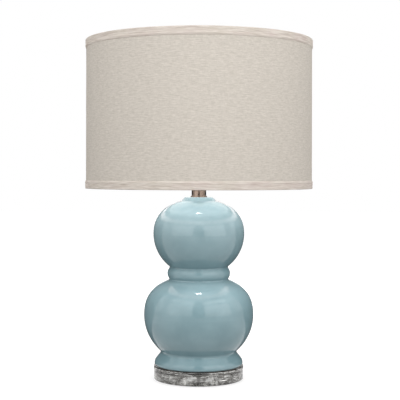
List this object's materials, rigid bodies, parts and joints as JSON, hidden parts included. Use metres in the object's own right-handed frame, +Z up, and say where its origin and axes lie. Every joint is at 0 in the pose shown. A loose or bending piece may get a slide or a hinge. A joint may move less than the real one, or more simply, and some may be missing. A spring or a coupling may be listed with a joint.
{
  "type": "table lamp",
  "caption": "Table lamp with a glazed double gourd ceramic body on a clear disc base, and a linen drum shade on a harp that lifts off.",
  "frame": {"origin": "centre of the base at table height, on the lamp's upright axis", "axes": "+Z up along the lamp's axis, -Y to the front, +X to the right; the cord bushing faces +Y"},
  "size_m": [0.4319, 0.432, 0.6533],
  "materials": {
    "clear_bumper": "clear soft urethane dots",
    "acrylic": "polished clear acrylic",
    "zinc_steel": "zinc plated",
    "dark_gasket": "dark brown, matt",
    "brass": "plain stamped brass",
    "glaze": "glossy grey-blue glaze",
    "black_plastic": "black phenolic",
    "aged_nickel": "aged nickel",
    "harp_brass": "satin nickel plating",
    "white_wire": "white baked enamel",
    "white_liner": "matt white styrene",
    "linen": "oatmeal linen weave",
    "linen_tape": "folded linen tape",
    "grey_paper": "fibre paper",
    "brown_plastic": "brown phenolic",
    "aluminium_shell": "bright rolled shell",
    "frosted_glass": "inside frosted",
    "black_glass": "black vitrite",
    "solder": "solder dot",
    "clear_glass": "clear",
    "filament_wire": "tungsten and lead wire"
  },
  "bodies": {
    "root": {"base_bumpers": "clear_bumper", "base_disc": "acrylic", "base_washer": "zinc_steel", "base_lock_washer": "zinc_steel", "base_nut": "zinc_steel", "lamp_pipe": "zinc_steel", "foot_gasket": "dark_gasket", "foot_centring_ring": "brass", "gourd_body": "glaze", "cord_bushing": "black_plastic", "neck_seating_ring": "zinc_steel", "neck": "aged_nickel", "neck_locknut": "zinc_steel", "harp_saddle": "harp_brass", "socket_cap": "brass", "socket_set_screw": "zinc_steel", "socket_shell": "brass", "socket_paper_sleeve": "grey_paper", "socket_block": "black_plastic", "terminal_screws": "brass", "screw_shell": "aluminium_shell", "centre_contact": "brass"},
    "switch": {"switch_rotor": "brown_plastic", "switch_shaft": "brass", "switch_knob": "black_plastic"},
    "harp": {"harp": "harp_brass"},
    "sleeve_left": {"harp_sleeve_left": "harp_brass"},
    "sleeve_right": {"harp_sleeve_right": "harp_brass"},
    "stud": {"harp_stud": "harp_brass"},
    "shade": {"shade_spider": "white_wire", "shade_bottom_ring": "white_wire", "shade_liner": "white_liner", "shade_fabric": "linen", "shade_trim_top": "linen_tape", "shade_trim_bottom": "linen_tape"},
    "finial": {"finial_washer": "harp_brass", "finial": "aged_nickel"},
    "bulb": {"bulb_glass": "frosted_glass", "bulb_cap": "aluminium_shell", "bulb_insulator": "black_glass", "bulb_contact": "solder", "bulb_stem": "clear_glass", "bulb_filament": "filament_wire"}
  },
  "joints": [
    {"name": "switch_turn", "type": "hinge", "parent": "root", "child": "switch", "pos_m": [0, -0.0172, 0.4028], "axis": [0, -1, 0], "continuous": true},
    {"name": "bulb_unscrew", "type": "slide", "parent": "root", "child": "bulb", "axis": [0, 0, 1], "range_m": [0, 0.03]},
    {"name": "harp_lift", "type": "slide", "parent": "root", "child": "harp", "axis": [0, 0, 1], "range_m": [0, 0.03]},
    {"name": "sleeve_left_slide", "type": "slide", "parent": "harp", "child": "sleeve_left", "axis": [0, 0, 1], "range_m": [0, 0.012]},
    {"name": "sleeve_right_slide", "type": "slide", "parent": "harp", "child": "sleeve_right", "axis": [0, 0, 1], "range_m": [0, 0.012]},
    {"name": "shade_swivel", "type": "hinge", "parent": "harp", "child": "stud", "pos_m": [0, 0, 0.6282], "axis": [0, 0, 1], "continuous": true},
    {"name": "shade_lift", "type": "slide", "parent": "stud", "child": "shade", "axis": [0, 0, 1], "range_m": [0, 0.29]},
    {"name": "finial_unscrew", "type": "slide", "parent": "shade", "child": "finial", "axis": [0, 0, 1], "range_m": [0, 0.025]}
  ]
}
